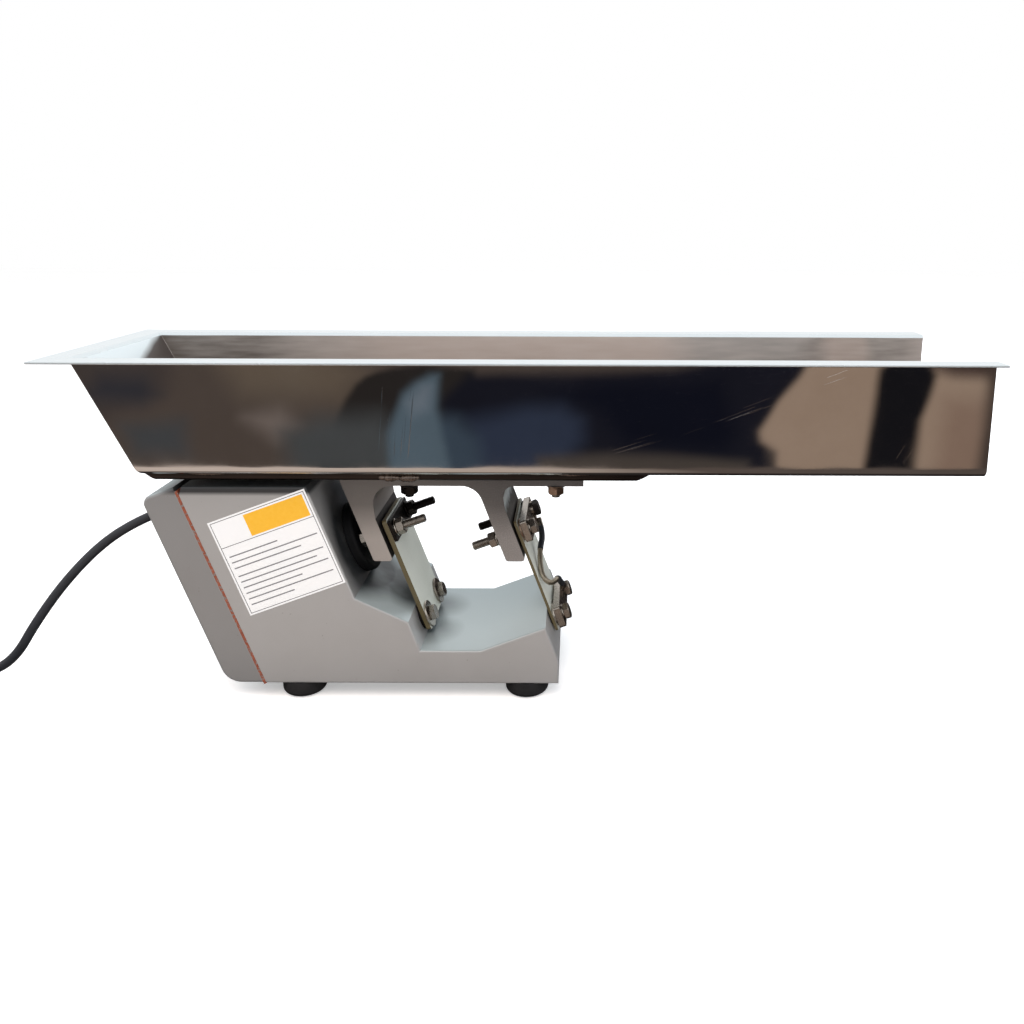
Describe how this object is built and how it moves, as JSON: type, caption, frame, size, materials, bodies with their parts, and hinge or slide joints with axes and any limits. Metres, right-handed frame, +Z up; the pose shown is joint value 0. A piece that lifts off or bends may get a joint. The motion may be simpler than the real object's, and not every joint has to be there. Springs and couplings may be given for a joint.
{
  "type": "linear vibratory feeder",
  "caption": "Open sheet-metal trough on a cast driven frame, carried by two inclined leaf-spring packs on a cast magnet-drive base with rubber feet and a mains lead.",
  "frame": {"origin": "on the surface under the feet, below the middle of the trough", "axes": "+X along the trough towards its open discharge end, +Y across it, +Z up"},
  "size_m": [0.9848, 0.2596, 0.302],
  "materials": {
    "trough_stainless": "polished stainless sheet",
    "pan_stainless": "dull stainless sheet",
    "frame_paint": "grey hammer paint on casting",
    "housing_paint": "satin grey paint on casting",
    "cover_paint": "satin grey paint on casting",
    "gasket_rubber": "orange-red gasket edge",
    "foot_rubber": "moulded black rubber",
    "boot_rubber": "moulded black rubber",
    "glass_fibre_leaf": "pale glass-fibre laminate",
    "bar_steel": "plain steel bar",
    "core_steel": "laminated core",
    "stem_steel": "turned steel",
    "coil_tape": "varnished tape over copper",
    "carrier_aluminium": "plain plate",
    "moulded_plastic": "black moulding",
    "plug_plastic": "black moulding with metal pins",
    "sleeve_rubber": "black moulded sleeve",
    "cord_jacket": "black cord jacket",
    "earth_sleeving": "sleeved earth wire",
    "washer_steel": "zinc-plated steel",
    "lug_tin": "tinned copper",
    "fastener_steel": "zinc-plated steel"
  },
  "bodies": {
    "base": {"base_housing": "housing_paint", "cable_gland": "moulded_plastic", "carrier_screws": "fastener_steel", "cord_coil": "cord_jacket", "cord_sleeve": "sleeve_rubber", "cord_tail": "cord_jacket", "core_screws": "fastener_steel", "cover_gasket": "gasket_rubber", "cover_screws": "fastener_steel", "earth_lead": "earth_sleeving", "feet": "foot_rubber", "foot_screws": "fastener_steel", "front_lower_bolts": "fastener_steel", "front_lower_clamp_bar": "bar_steel", "front_lower_head_washer": "washer_steel", "front_lower_spacers": "washer_steel", "front_lower_washers": "washer_steel", "front_spring": "glass_fibre_leaf", "lower_earth_lug": "lug_tin", "magnet_carrier": "carrier_aluminium", "magnet_coil": "coil_tape", "magnet_core": "core_steel", "plug": "plug_plastic", "power_cord": "cord_jacket", "rear_cover": "cover_paint", "rear_lower_bolts": "fastener_steel", "rear_lower_spacers": "washer_steel", "rear_lower_washers": "washer_steel", "rear_spring": "glass_fibre_leaf", "rubber_boot": "boot_rubber", "terminal_block": "moulded_plastic", "terminal_screws": "fastener_steel"},
    "tray": {"trough": "trough_stainless", "mounting_pan": "pan_stainless", "driven_frame": "frame_paint", "frame_studs": "fastener_steel", "frame_washers": "washer_steel", "frame_nuts": "fastener_steel", "rear_upper_spacers": "washer_steel", "rear_clamp_plate": "bar_steel", "rear_upper_washers": "washer_steel", "rear_upper_nuts": "fastener_steel", "rear_upper_bolts": "fastener_steel", "rear_head_washers": "washer_steel", "front_upper_spacers": "washer_steel", "front_upper_washers": "washer_steel", "front_upper_clamp_bar": "bar_steel", "front_upper_bolts": "fastener_steel", "front_upper_head_washer": "washer_steel", "front_nut_washers": "washer_steel", "front_lock_washers": "washer_steel", "front_upper_nuts": "fastener_steel", "upper_earth_lug": "lug_tin", "armature_stem": "stem_steel", "armature": "core_steel", "armature_screw": "fastener_steel"}
  },
  "joints": [
    {"name": "trough_vibration", "type": "slide", "parent": "base", "child": "tray", "axis": [0.9397, 0, 0.342], "range_m": [-0.00075, 0.00075], "stiffness_N_per_m": 60000, "springref_m": 0.00053, "deforming": ["rear_spring", "front_spring", "earth_lead"]}
  ]
}
